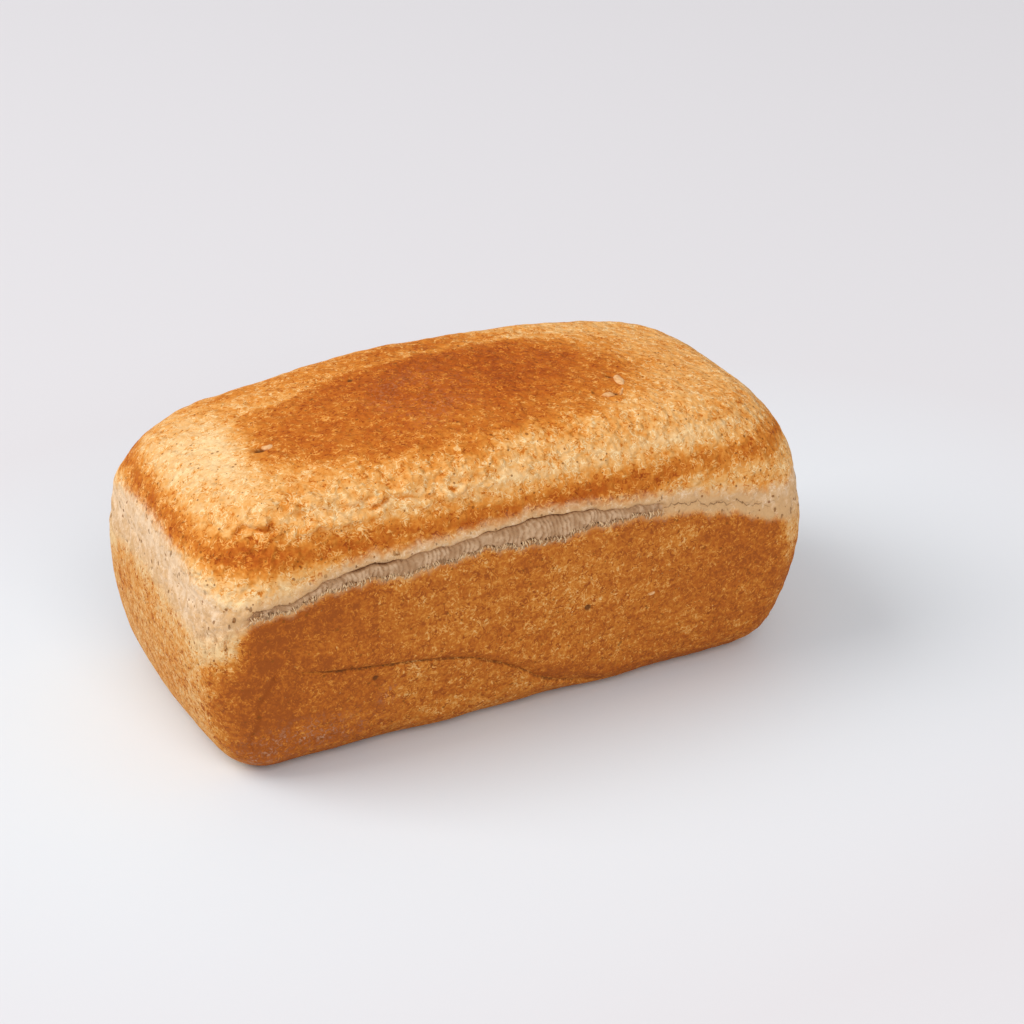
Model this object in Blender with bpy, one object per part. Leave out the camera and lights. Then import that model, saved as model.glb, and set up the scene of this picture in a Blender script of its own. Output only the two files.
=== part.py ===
"""Tin loaf: one closed, uncut loaf of bread, baked in an open tin.

Metres, +Z up.  The loaf stands on its flat base with its origin in the middle of that base.
Its length runs along X, and the long side that tore open the most in the oven faces -Y.
The shape is a block whose walls, corners, crown and base edge are rounded by formulas,
with the tear under the crown, the pressed fold and the crust's unevenness laid on top.
"""
import bmesh
import bpy
import numpy as np

# Driving dimensions of the whole loaf
LENGTH = 0.240
WIDTH = 0.125
HEIGHT = 0.1095

# The tin: where its rim was, and how its walls lean and the crumb swelled between them
HALF_LENGTH = 0.114
HALF_WIDTH = 0.0594
RIM_HEIGHT = 0.0685
TAPER_LEFT = 0.0077
TAPER_RIGHT = 0.0132
TAPER_SIDE = 0.0055
SWELL_LEFT = 0.0050
SWELL_RIGHT = 0.0073
SWELL_SIDE = 0.0028
END_BLEND = 0.0285
BOW_OF_ENDS = 0.0042
BOW_OF_SIDES = 0.0032

# The crown that rose over the rim
SHOULDER_HEIGHT = 0.0940
CROWN_SET_IN_END = 0.0004
CROWN_SET_IN_SIDE = 0.0031
DOME_ALONG = 0.0123
DOME_ACROSS = 0.0033

# Rounding of the upright corners at the base, the rim and the shoulder, and of the two edges
CORNER_AT_BASE = 0.0151
CORNER_AT_RIM = 0.0160
CORNER_AT_SHOULDER = 0.0324
SHOULDER_ROUND = 0.0223
BASE_ROUND = 0.0124

# The tear: an arch of stretched crumb between the tin's crust and the crown
TEAR_TOP = 0.0768
TEAR_MIDDLE_X = 0.005
TEAR_DROP_LEFT = 0.0114
TEAR_DROP_RIGHT = 0.0057
TEAR_LEFT_END = -0.106
TEAR_RIGHT_END = 0.050
TEAR_HALF_HEIGHT = 0.0040
TEAR_DEPTH = 0.0024
LIP_PROUD = 0.0009
END_BAND_RISE = 0.0040
END_BAND_HALF_HEIGHT = 0.0110
END_BAND_DEPTH = 0.0014

# Slow unevenness of the crust, and of the edge that the loaf stands on
CRUST_WAVE = 0.0006
BASE_EDGE_WAVE = 0.0012

# The grid: cells along X, Y and Z, and the core box from which the surface is measured
CELLS = (40, 20, 24)
CORE_INSET = 0.030
REACH = 0.080
HALVINGS = 36
# Heights where the grid's rows gather, as shares of the loaf's height
ROW_SHARES = (0.0, 0.22, 0.56, 0.80, 1.0)
ROW_HEIGHTS = (0.0, 0.24, 0.60, 0.79, 1.0)

CRUST_COLOUR = (0.56, 0.27, 0.085, 1.0)
CRUST_ROUGHNESS = 0.62


def clear_scene():
    for old in list(bpy.data.objects):
        bpy.data.objects.remove(old, do_unlink=True)


def smooth_step(value, low, high):
    """0 below low, 1 above high, and an even S between them."""
    t = np.clip((value - low) / (high - low), 0.0, 1.0)
    return t * t * (3.0 - 2.0 * t)


def rounded_edge(wall, other, radius):
    """Distance past two walls that meet in an edge of this radius."""
    past_wall = np.maximum(wall + radius, 0.0)
    past_other = np.maximum(other + radius, 0.0)
    inside = np.minimum(np.maximum(wall + radius, other + radius), 0.0)
    return np.hypot(past_wall, past_other) + inside - radius


def loaf_distance(points):
    """Signed distance-like value of the plain loaf: negative inside, zero on its crust."""
    x, y, z = points.T
    up_tin = np.clip(z / RIM_HEIGHT, 0.0, 1.0)
    up_crown = np.clip((z - RIM_HEIGHT) / (SHOULDER_HEIGHT - RIM_HEIGHT), 0.0, 1.0)
    swell = 4.0 * up_tin * (1.0 - up_tin)
    to_right = np.clip(x / END_BLEND, -1.0, 1.0) * 0.5 + 0.5
    taper_end = TAPER_LEFT + (TAPER_RIGHT - TAPER_LEFT) * to_right
    swell_end = SWELL_LEFT + (SWELL_RIGHT - SWELL_LEFT) * to_right
    set_in_end = taper_end * (1.0 - up_tin) - swell_end * swell + CROWN_SET_IN_END * up_crown
    set_in_side = TAPER_SIDE * (1.0 - up_tin) - SWELL_SIDE * swell + CROWN_SET_IN_SIDE * up_crown
    across = (y / HALF_WIDTH) ** 2
    along = (x / HALF_LENGTH) ** 2
    end_wall = np.abs(x) - (HALF_LENGTH - set_in_end + BOW_OF_ENDS * (1.0 - across))
    side_wall = np.abs(y) - (HALF_WIDTH - set_in_side + BOW_OF_SIDES * up_tin * (1.0 - along))
    heights = (0.0, RIM_HEIGHT, SHOULDER_HEIGHT)
    corner = np.interp(z, heights, (CORNER_AT_BASE, CORNER_AT_RIM, CORNER_AT_SHOULDER))
    walls = rounded_edge(end_wall, side_wall, corner)
    crown = z - (SHOULDER_HEIGHT + DOME_ALONG * (1.0 - along) + DOME_ACROSS * (1.0 - across))
    upper = rounded_edge(walls, crown, SHOULDER_ROUND)
    return rounded_edge(upper, -z, BASE_ROUND)


def tear_height(x, y):
    """Height of the tear's middle on the wall: an arch on the sides, which rises again on the ends."""
    from_middle = x - TEAR_MIDDLE_X
    left = np.clip(-from_middle / (HALF_LENGTH + TEAR_MIDDLE_X), 0.0, 1.0)
    right = np.clip(from_middle / (HALF_LENGTH - TEAR_MIDDLE_X), 0.0, 1.0)
    arch = TEAR_TOP - TEAR_DROP_LEFT * left ** 4 - TEAR_DROP_RIGHT * right ** 1.2
    on_end = np.clip(np.abs(x) / HALF_LENGTH, 0.0, 1.0) ** 8
    return arch + END_BAND_RISE * on_end * (1.0 - np.clip(y / HALF_WIDTH, -1.0, 1.0) ** 2)


def tear_relief(points, outward):
    """How far the torn band lies back from the wall, and its upper lip stands proud of it."""
    x, y, z = points.T
    upright = 1.0 - np.abs(outward[:, 2])
    above = z - tear_height(x, y)
    on_side = smooth_step(np.abs(outward[:, 1]), 0.5, 0.9)
    torn = smooth_step(x, TEAR_LEFT_END, TEAR_LEFT_END + 0.012)
    torn = torn * (1.0 - smooth_step(x, TEAR_RIGHT_END - 0.02, TEAR_RIGHT_END + 0.03) * 0.75)
    groove = np.clip(1.0 - (above / (1.6 * TEAR_HALF_HEIGHT)) ** 2, 0.0, 1.0) ** 2
    lip = np.exp(-((above - 2.4 * TEAR_HALF_HEIGHT) / TEAR_HALF_HEIGHT) ** 2)
    band = np.clip(1.0 - (above / END_BAND_HALF_HEIGHT) ** 2, 0.0, 1.0) ** 2
    side_part = on_side * torn * (LIP_PROUD * lip - TEAR_DEPTH * groove)
    end_part = (1.0 - on_side) * END_BAND_DEPTH * band
    return upright * (side_part - end_part)


def slow_waves(points):
    """The unevenness of a hand-moulded loaf: long waves in the crust and dents along the base edge."""
    x, y, z = points.T
    crust = np.sin(31.0 * x + 1.3) * np.sin(47.0 * y + 0.4) + 0.6 * np.sin(83.0 * x - 52.0 * z + 2.1)
    crust = crust * smooth_step(z, 0.004, 0.030) * (1.0 - smooth_step(z, 0.090, HEIGHT))
    dents = np.sin(95.0 * x + 0.7) + 0.7 * np.sin(178.0 * x + 40.0 * y)
    low = smooth_step(z, 0.0003, 0.003) * (1.0 - smooth_step(z, 0.006, 0.016))
    return CRUST_WAVE * crust * 0.6 - BASE_EDGE_WAVE * 0.35 * (1.0 + dents) * low


def grid_block(cells):
    """A cube from -1 to 1 whose faces are cut into this many cells along each axis."""
    block = bmesh.new()
    bmesh.ops.create_cube(block, size=2.0)
    for axis, count in enumerate(cells):
        along = [edge for edge in block.edges
                 if abs(edge.verts[0].co[axis] - edge.verts[1].co[axis]) > 1e-6]
        bmesh.ops.subdivide_edges(block, edges=along, cuts=count - 1, use_grid_fill=True)
    return block


def crust_points(block_points):
    """Move the block's points out from the core until they lie on the loaf's crust."""
    half = np.array((LENGTH / 2.0, WIDTH / 2.0, HEIGHT / 2.0))
    rows = block_points.copy()
    share = rows[:, 2] * 0.5 + 0.5
    rows[:, 2] = np.interp(share, ROW_SHARES, ROW_HEIGHTS) * 2.0 - 1.0
    outer = rows * half + (0.0, 0.0, HEIGHT / 2.0)
    core_half = half - CORE_INSET
    core = np.clip(outer - (0.0, 0.0, HEIGHT / 2.0), -core_half, core_half) + (0.0, 0.0, HEIGHT / 2.0)
    outward = outer - core
    outward /= np.linalg.norm(outward, axis=1, keepdims=True)
    near = np.zeros((len(core), 1))
    far = np.full((len(core), 1), REACH)
    for _ in range(HALVINGS):
        middle = (near + far) / 2.0
        inside = (loaf_distance(core + outward * middle) < 0.0)[:, None]
        near = np.where(inside, middle, near)
        far = np.where(inside, far, middle)
    points = core + outward * near
    points += outward * (tear_relief(points, outward) + slow_waves(points))[:, None]
    return points


def fit_to_dimensions(points):
    """Centre the loaf on its base and make it exactly LENGTH by WIDTH by HEIGHT."""
    low = points.min(axis=0)
    high = points.max(axis=0)
    middle = np.array(((low[0] + high[0]) / 2.0, (low[1] + high[1]) / 2.0, low[2]))
    fitted = (points - middle) * np.array((LENGTH, WIDTH, HEIGHT)) / (high - low)
    fitted[np.abs(fitted[:, 2]) < 1e-6, 2] = 0.0
    return fitted


def merge_flat_base(block):
    """Make the part of the base that is quite flat one face."""
    flat = [face for face in block.faces if all(vert.co.z == 0.0 for vert in face.verts)]
    bmesh.ops.dissolve_faces(block, faces=flat, use_verts=False)


def crust_material():
    """Baked crust: tan to orange brown, dry and only faintly glossy."""
    crust = bpy.data.materials.new("crust")
    crust.use_nodes = True
    shader = crust.node_tree.nodes["Principled BSDF"]
    shader.inputs["Base Color"].default_value = CRUST_COLOUR
    shader.inputs["Roughness"].default_value = CRUST_ROUGHNESS
    shader.inputs["Metallic"].default_value = 0.0
    return crust


def make_loaf(collection):
    block = grid_block(CELLS)
    block.verts.ensure_lookup_table()
    block_points = np.array([vert.co for vert in block.verts])
    for vert, point in zip(block.verts, fit_to_dimensions(crust_points(block_points))):
        vert.co = point
    merge_flat_base(block)
    bmesh.ops.recalc_face_normals(block, faces=block.faces)
    mesh = bpy.data.meshes.new("loaf")
    block.to_mesh(mesh)
    block.free()
    mesh.shade_smooth()
    mesh.materials.append(crust_material())
    loaf = bpy.data.objects.new("loaf", mesh)
    collection.objects.link(loaf)
    return loaf


clear_scene()
tin_loaf = bpy.data.collections.new("tin_loaf")
bpy.context.scene.collection.children.link(tin_loaf)
make_loaf(tin_loaf)
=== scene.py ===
"""Tin loaf: the finished look of a whole loaf of bread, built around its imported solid.

Metres, +Z up.  The loaf stands on its base at the origin, its length along X, and the long
side with the open tear faces -Y.
"""
import math

import bmesh
import bpy
import numpy as np
from mathutils import Matrix, Vector, noise


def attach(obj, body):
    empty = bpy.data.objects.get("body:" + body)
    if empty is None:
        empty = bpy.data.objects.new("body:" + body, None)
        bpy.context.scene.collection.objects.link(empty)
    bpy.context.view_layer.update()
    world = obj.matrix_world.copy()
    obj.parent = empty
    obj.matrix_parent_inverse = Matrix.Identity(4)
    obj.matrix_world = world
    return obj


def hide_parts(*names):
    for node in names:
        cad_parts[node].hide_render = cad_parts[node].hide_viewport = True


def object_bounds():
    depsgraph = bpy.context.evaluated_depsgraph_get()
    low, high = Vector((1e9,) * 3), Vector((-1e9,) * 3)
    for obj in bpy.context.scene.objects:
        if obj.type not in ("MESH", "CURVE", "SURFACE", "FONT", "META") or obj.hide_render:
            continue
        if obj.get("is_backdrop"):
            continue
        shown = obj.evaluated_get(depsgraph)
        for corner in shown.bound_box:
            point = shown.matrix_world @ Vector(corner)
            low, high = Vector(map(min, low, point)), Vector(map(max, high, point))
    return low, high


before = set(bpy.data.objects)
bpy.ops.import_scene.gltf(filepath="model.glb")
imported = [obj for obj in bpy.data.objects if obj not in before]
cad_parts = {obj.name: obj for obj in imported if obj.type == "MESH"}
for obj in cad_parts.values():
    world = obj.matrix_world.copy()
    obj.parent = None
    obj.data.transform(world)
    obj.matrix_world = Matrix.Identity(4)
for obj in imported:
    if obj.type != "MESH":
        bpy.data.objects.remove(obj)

cad_low, cad_high = (np.array(corner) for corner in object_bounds())
LENGTH, WIDTH, HEIGHT = cad_high - cad_low


# ---------------------------------------------------------------------------------------
# The stage: a pale seamless table top, one big soft light behind the loaf's left shoulder,
# a weaker one in front of it, and the camera, which looks down on the front left corner.
# ---------------------------------------------------------------------------------------
TABLE_SIZE = 40.0 * LENGTH
TABLE_COLOUR = (0.745, 0.735, 0.76, 1.0)
# painted light: the table is coloured lighter and cooler round the loaf, lifting its shadow and
# cancelling the crust's warm bounce
PAINTED_LIGHT_NEAR_LOAF = (0.81, 0.905, 0.955, 1.0)
TABLE_OVAL = (LENGTH / 0.72, LENGTH, 1.0)      # half sizes of the part that counts as near
SKY_COLOUR = (1.0, 0.985, 1.0, 1.0)
SKY_STRENGTH = 0.52
LIGHT_COLOUR = (1.0, 0.99, 0.98)
LIGHT_AWAY = 4.5
CAMERA_AZIMUTH = -26.68
CAMERA_ELEVATION = 27.52
CAMERA_LENS = 92.85
CAMERA_SENSOR = 36.0
CAMERA_AWAY = 3.966 * LENGTH
CAMERA_AIM = Vector((0.0487 * LENGTH, -0.181 * WIDTH, 0.5857 * HEIGHT))


def bearing(azimuth, elevation):
    """Direction from the loaf to what stands at these angles, in degrees; azimuth 0 is the front."""
    turn, rise = math.radians(azimuth), math.radians(elevation)
    return Vector((math.sin(turn) * math.cos(rise), -math.cos(turn) * math.cos(rise), math.sin(rise)))


def soft_light(name, azimuth, elevation, size, power):
    """A square soft box that faces the loaf from this bearing."""
    lamp = bpy.data.lights.new(name, "AREA")
    lamp.shape = "SQUARE"
    lamp.size = size
    lamp.energy = power
    lamp.color = LIGHT_COLOUR
    back = bearing(azimuth, elevation)
    light = bpy.data.objects.new(name, lamp)
    light.location = Vector((0.0, 0.0, HEIGHT / 2.0)) + back * LIGHT_AWAY
    light.rotation_euler = back.to_track_quat("Z", "Y").to_euler()
    bpy.context.scene.collection.objects.link(light)


class Wire:
    """A shader socket that takes part in sums, so that masks read as plain arithmetic."""

    def __init__(self, board, socket):
        self.board = board
        self.socket = socket

    def math(self, operation, *others):
        return self.board.add("ShaderNodeMath", {"operation": operation}, {
            place: value for place, value in enumerate((self, *others))})

    def __add__(self, other):
        return self.math("ADD", other)

    def __radd__(self, other):
        return self.math("ADD", other)

    def __sub__(self, other):
        return self.math("SUBTRACT", other)

    def __rsub__(self, other):
        return self.board.add("ShaderNodeMath", {"operation": "SUBTRACT"}, {0: other, 1: self})

    def __mul__(self, other):
        return self.math("MULTIPLY", other)

    def __rmul__(self, other):
        return self.math("MULTIPLY", other)

    def __abs__(self):
        return self.math("ABSOLUTE")

    def ramp(self, low, high):
        """0 at low, 1 at high, with an even S between."""
        return self.board.add("ShaderNodeMapRange", {"interpolation_type": "SMOOTHSTEP"}, {
            "Value": self, "From Min": low, "From Max": high})


class Board:
    """One material's node tree, with the Principled shader it starts from."""

    def __init__(self, name):
        self.material = bpy.data.materials.new(name)
        self.material.use_nodes = True
        self.tree = self.material.node_tree
        self.shader = self.tree.nodes["Principled BSDF"]

    def add(self, kind, settings, inputs, output=0):
        """Add a node, set it up, fill or link its sockets, and return one of its outputs."""
        node = self.tree.nodes.new(kind)
        for name, value in settings.items():
            if name == "stops":
                self.set_stops(node.color_ramp, value)
            else:
                setattr(node, name, value)
        for place, value in inputs.items():
            self.fill(node.inputs[place], value)
        return Wire(self, node.outputs[output])

    def fill(self, socket, value):
        if isinstance(value, Wire):
            self.tree.links.new(value.socket, socket)
        else:
            socket.default_value = value

    def set_stops(self, ramp, stops):
        while len(ramp.elements) < len(stops):
            ramp.elements.new(0.5)
        for element, (place, colour) in zip(ramp.elements, stops):
            element.position = place
            element.color = (*colour, 1.0)

    def attribute(self, name):
        return self.add("ShaderNodeAttribute", {"attribute_name": name}, {}, "Fac")

    def coordinates(self, stretch=None):
        """Places on the piece in metres, which may be stretched along X, Y and Z."""
        where = self.add("ShaderNodeTexCoord", {}, {}, "Object")
        if stretch is None:
            return where
        return self.add("ShaderNodeMapping", {}, {"Vector": where, "Scale": stretch}, "Vector")

    def clouds(self, where, size, detail=3.0, distortion=0.0):
        """Cloudy noise, 0 to 1, whose largest lumps have this size in metres."""
        return self.add("ShaderNodeTexNoise", {}, {
            "Vector": where, "Scale": 1.0 / size, "Detail": detail,
            "Roughness": 0.55, "Distortion": distortion}, "Fac")

    def cells(self, where, size):
        """Distance to the nearest of many scattered spots, in shares of this size."""
        return self.add("ShaderNodeTexVoronoi", {}, {"Vector": where, "Scale": 1.0 / size}, "Distance")

    def mix(self, share, first, second):
        """A colour between two others."""
        return self.add("ShaderNodeMix", {"data_type": "RGBA"}, {0: share, 6: first, 7: second}, 2)

    def blend(self, share, first, second):
        """A number between two others."""
        return self.add("ShaderNodeMix", {"data_type": "FLOAT"}, {0: share, 2: first, 3: second}, 0)

    def baked_colour(self, shade, stops):
        return self.add("ShaderNodeValToRGB", {"stops": stops}, {0: shade}, "Color")

    def bump(self, height, depth):
        normal = self.add("ShaderNodeBump", {}, {"Height": height, "Distance": depth, "Strength": 1.0})
        self.tree.links.new(normal.socket, self.shader.inputs["Normal"])

    def finish(self, colour, roughness, gloss):
        """Give the shader its colour and finish, and return the material."""
        self.fill(self.shader.inputs["Base Color"], colour)
        self.fill(self.shader.inputs["Roughness"], roughness)
        self.shader.inputs["Specular IOR Level"].default_value = gloss
        return self.material


def table_finish():
    """Matt paint, with painted light by the loaf: lighter and cooler there, lifting the loaf's shadow and
    cancelling the warm colour the crust throws on it.
    """
    board = Board("table_paint_and_painted_light")
    where = board.coordinates(tuple(1.0 / half for half in TABLE_OVAL))
    # painted light: an oval gradient that turns the table lighter and cooler toward the loaf
    near = board.add("ShaderNodeTexGradient", {"gradient_type": "SPHERICAL"}, {"Vector": where}, "Color")
    return board.finish(board.mix(near, TABLE_COLOUR, PAINTED_LIGHT_NEAR_LOAF), 0.55, 0.2)


soft_light("window_light", -113.0, 45.0, 3.0, 128.0)
soft_light("front_fill", -8.0, 38.0, 2.5, 74.0)

world = bpy.data.worlds.new("studio")
world.use_nodes = True
world.node_tree.nodes["Background"].inputs["Color"].default_value = SKY_COLOUR
world.node_tree.nodes["Background"].inputs["Strength"].default_value = SKY_STRENGTH
bpy.context.scene.world = world
bpy.context.scene.view_settings.view_transform = "Standard"

camera = bpy.data.objects.new("camera", bpy.data.cameras.new("camera"))
camera.data.lens = CAMERA_LENS
camera.data.sensor_width = CAMERA_SENSOR
camera_back = bearing(CAMERA_AZIMUTH, CAMERA_ELEVATION)
camera.location = CAMERA_AIM + camera_back * CAMERA_AWAY
camera.rotation_euler = camera_back.to_track_quat("Z", "Y").to_euler()
bpy.context.scene.collection.objects.link(camera)
bpy.context.scene.camera = camera

bpy.ops.mesh.primitive_grid_add(x_subdivisions=2, y_subdivisions=2, size=TABLE_SIZE)
table_top = bpy.context.object
table_top.name = "table_top"
table_top.data.materials.append(table_finish())
table_top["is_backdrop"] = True


# ---------------------------------------------------------------------------------------
# The crust: the whole loaf's baked skin.  Below the tin's rim it was pressed flat and tan
# against hot steel; above it the crown rose freely, wrinkled, and browned from the top.
# ---------------------------------------------------------------------------------------
# How the tin's walls lean and the crumb swelled between them
HALF_LENGTH = 0.475 * LENGTH
HALF_WIDTH = 0.4752 * WIDTH
RIM_HEIGHT = 0.6256 * HEIGHT
SHOULDER_HEIGHT = 0.8584 * HEIGHT
TAPER_LEFT, TAPER_RIGHT, TAPER_SIDE = 0.0077, 0.0132, 0.0055
SWELL_LEFT, SWELL_RIGHT, SWELL_SIDE = 0.0050, 0.0073, 0.0028
END_BLEND = 0.0285
BOW_OF_ENDS, BOW_OF_SIDES = 0.0042, 0.0032
CROWN_SET_IN_END, CROWN_SET_IN_SIDE = 0.0004, 0.0031
DOME_ALONG, DOME_ACROSS = 0.0123, 0.0033
CORNER_AT_BASE, CORNER_AT_RIM, CORNER_AT_SHOULDER = 0.0151, 0.0160, 0.0324
SHOULDER_ROUND, BASE_ROUND = 0.0223, 0.0124

# The tear's edges along the front, X and height; the back is the front turned round
TEAR_LOW = ((-0.112, 0.0630), (-0.100, 0.0670), (-0.088, 0.0692), (-0.072, 0.0728), (-0.045, 0.0724),
            (-0.018, 0.0748), (0.004, 0.0725), (0.028, 0.0740), (0.052, 0.0722), (0.080, 0.0665),
            (0.098, 0.0600), (0.114, 0.0540))
TEAR_HIGH = ((-0.112, 0.0655), (-0.100, 0.0702), (-0.088, 0.0716), (-0.072, 0.0770), (-0.045, 0.0783),
             (-0.020, 0.0800), (0.008, 0.0811), (0.034, 0.0780), (0.060, 0.0752), (0.090, 0.0690),
             (0.114, 0.0660))
# Its edges over each end, by the distance from the end's middle
END_LOW = ((0.0, 0.0640), (0.025, 0.0612), (0.036, 0.0588), (0.047, 0.0586), (0.060, 0.0625))
END_HIGH = ((0.0, 0.0785), (0.028, 0.0755), (0.040, 0.0720), (0.051, 0.0690), (0.060, 0.0680))
TEAR_LEFT_END, TEAR_RIGHT_END = -0.110, 0.058
CHANNEL_DEPTH = 0.0040

# Where dough was folded over before baking: the crease and the ridge above it, X and height
FOLD = ((-0.094, 0.0460), (-0.084, 0.0428), (-0.062, 0.0395), (-0.040, 0.0362), (-0.022, 0.0318),
        (-0.008, 0.0247), (0.006, 0.0150), (0.018, 0.0085), (0.034, 0.0035))
RIDGE = ((-0.090, 0.0445), (-0.066, 0.0425), (-0.044, 0.0400), (-0.026, 0.0370), (-0.009, 0.0290),
         (0.010, 0.0212), (0.023, 0.0180), (0.032, 0.0130), (0.060, 0.0090), (0.095, 0.0040))
# Where the sheet of dough curls down at its left end, height and X
CURL = ((0.010, -0.1045), (0.021, -0.1040), (0.030, -0.1026), (0.037, -0.1006), (0.044, -0.0970),
        (0.048, -0.0925))
# Where the crown sank into wrinkles as it cooled, X and height
WRINKLE = ((-0.112, 0.0880), (-0.101, 0.0930), (-0.090, 0.0958), (-0.070, 0.0968), (-0.046, 0.0977),
           (-0.020, 0.0992), (0.020, 0.1000))

# How high or deep the crust's small forms are
LONG_WAVE, SHORT_WAVE = 0.00035, 0.00025
CROWN_SWELL, CROWN_BUBBLES = 0.00050, 0.00028
TIN_SWELL, TIN_BUBBLES = 0.00022, 0.00008
BAND_LUMPS, BAND_SET_BACK = 0.00065, 0.0003
PUCKER_DEPTH, LIP_PROUD, CRACK_DEPTH, CURL_DEPTH = 0.00080, 0.0005, 0.0007, 0.0007
RIPPLE_HEIGHT, DENT_DEPTH = 0.00010, 0.0004
WRINKLE_STEP, SECOND_STEP = 0.0021, 0.0015
CREASE_DEPTH, RIDGE_RISE, SHEET_RISE = 0.0008, 0.0018, 0.0013

# Ovals of browner, paler and rosy crust on top, as X, Y and their half sizes
DARK_POOL = (-0.006, -0.004, 0.090, 0.0475)
DARK_HEART = (0.0, 0.004, 0.056, 0.032)
PALE_LEFT = (-0.095, -0.002, 0.017, 0.036)
ROSY_OVAL = (-0.016, -0.006, 0.026, 0.028)
# Flour from the bench on the front, as X, height, half sizes and strength
FLOUR = ((-0.083, 0.016, 0.016, 0.006, 1.0), (-0.104, 0.008, 0.008, 0.006, 0.8),
         (-0.055, 0.026, 0.003, 0.003, 0.8))
# How dark the crown's side baked, by height
SIDE_HEIGHTS = (0.0800, 0.0835, 0.0860, 0.0885, 0.0925, 0.0970, 0.1000)
SIDE_BROWNING = (0.42, 0.58, 0.69, 0.62, 0.38, 0.15, 0.20)

# Burst bubbles and knocks, as X, Y, Z, radius and depth
PITS = ((-0.0790, -0.0096, 0.1037, 0.0018, 0.0026), (0.0545, -0.0155, 0.1065, 0.0014, 0.0020),
        (0.0496, -0.0289, 0.1065, 0.0013, 0.0016), (0.0223, -0.0618, 0.0415, 0.0012, 0.0011),
        (-0.0600, -0.0600, 0.0345, 0.0010, 0.0008), (-0.0320, 0.0200, 0.109, 0.0010, 0.0008),
        (0.0480, -0.0630, 0.0410, 0.0014, -0.0006))
PIT_ZONE = 0.0040      # how far round a pit the crust is finer

# The grid: coarse cells, each cut in four wherever the crust shows, and finer where it is creased
COARSE_CELLS = (88, 46, 44)
CORE_INSET = 0.030
REACH = 0.080
HALVINGS = 30
WALL_ROWS = 0.57      # share of the rows that lie below the tear
TEAR_ROWS = 0.15      # share of the rows that lie in the tear
EDGE_STEP = 0.0006    # how steeply the crust drops into the open tear


def smooth_step(value, low, high):
    """0 below low, 1 above high, and an even S between them."""
    t = np.clip((value - low) / (high - low), 0.0, 1.0)
    return t * t * (3.0 - 2.0 * t)


def hump(value, middle, half):
    """1 at the middle, falling evenly to 0 at half away from it."""
    return 1.0 - smooth_step(np.abs(value - middle), 0.0, half)


def rounded_edge(wall, other, radius):
    """Distance past two walls that meet in an edge of this radius."""
    past_wall = np.maximum(wall + radius, 0.0)
    past_other = np.maximum(other + radius, 0.0)
    inside = np.minimum(np.maximum(wall + radius, other + radius), 0.0)
    return np.hypot(past_wall, past_other) + inside - radius


def loaf_distance(points):
    """Signed distance-like value of the plain loaf: negative inside, zero on its crust."""
    x, y, z = points.T
    up_tin = np.clip(z / RIM_HEIGHT, 0.0, 1.0)
    up_crown = np.clip((z - RIM_HEIGHT) / (SHOULDER_HEIGHT - RIM_HEIGHT), 0.0, 1.0)
    swell = 4.0 * up_tin * (1.0 - up_tin)
    to_right = np.clip(x / END_BLEND, -1.0, 1.0) * 0.5 + 0.5
    taper_end = TAPER_LEFT + (TAPER_RIGHT - TAPER_LEFT) * to_right
    swell_end = SWELL_LEFT + (SWELL_RIGHT - SWELL_LEFT) * to_right
    set_in_end = taper_end * (1.0 - up_tin) - swell_end * swell + CROWN_SET_IN_END * up_crown
    set_in_side = TAPER_SIDE * (1.0 - up_tin) - SWELL_SIDE * swell + CROWN_SET_IN_SIDE * up_crown
    across = (y / HALF_WIDTH) ** 2
    along = (x / HALF_LENGTH) ** 2
    end_wall = np.abs(x) - (HALF_LENGTH - set_in_end + BOW_OF_ENDS * (1.0 - across))
    side_wall = np.abs(y) - (HALF_WIDTH - set_in_side + BOW_OF_SIDES * up_tin * (1.0 - along))
    heights = (0.0, RIM_HEIGHT, SHOULDER_HEIGHT)
    corner = np.interp(z, heights, (CORNER_AT_BASE, CORNER_AT_RIM, CORNER_AT_SHOULDER))
    walls = rounded_edge(end_wall, side_wall, corner)
    crown = z - (SHOULDER_HEIGHT + DOME_ALONG * (1.0 - along) + DOME_ACROSS * (1.0 - across))
    upper = rounded_edge(walls, crown, SHOULDER_ROUND)
    return rounded_edge(upper, -z, BASE_ROUND)


def on_crust(core, outward):
    """The point where a ray from the core meets the plain loaf's crust."""
    near = np.zeros((len(core), 1))
    far = np.full((len(core), 1), REACH)
    for _ in range(HALVINGS):
        middle = (near + far) / 2.0
        inside = (loaf_distance(core + outward * middle) < 0.0)[:, None]
        near = np.where(inside, middle, near)
        far = np.where(inside, far, middle)
    return core + outward * near


def rays_to(outer):
    """Core points and outward directions for points on the loaf's outer box."""
    half = np.array((LENGTH / 2.0, WIDTH / 2.0, HEIGHT / 2.0))
    middle = np.array((0.0, 0.0, HEIGHT / 2.0))
    core = np.clip(outer, middle - half + CORE_INSET, middle + half - CORE_INSET)
    outward = outer - core
    return core, outward / np.linalg.norm(outward, axis=1, keepdims=True)


def rough(points, size, seed, octaves=3, stretch=(1.0, 1.0, 1.0)):
    """Even cloudy noise from about -1 to 1, whose largest lumps have this size."""
    shift = Vector((seed * 7.31, seed * 3.17, seed * 5.71))
    scaled = points / (size * np.array(stretch))
    return np.array([noise.fractal(Vector(place) + shift, 1.0, 2.0, octaves) for place in scaled])


def smooth_line(place, line):
    """Height at this place of a smooth curve through the line's points."""
    stops, heights = np.array(line).T
    slopes = np.gradient(heights, stops)
    first = np.clip(np.searchsorted(stops, place) - 1, 0, len(stops) - 2)
    width = stops[first + 1] - stops[first]
    t = np.clip((place - stops[first]) / width, 0.0, 1.0)
    rise = heights[first + 1] - heights[first]
    lean = t * (1.0 - t) * width
    return (heights[first] + t * t * (3.0 - 2.0 * t) * rise
            + lean * ((1.0 - t) * slopes[first] - t * slopes[first + 1]))


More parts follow.
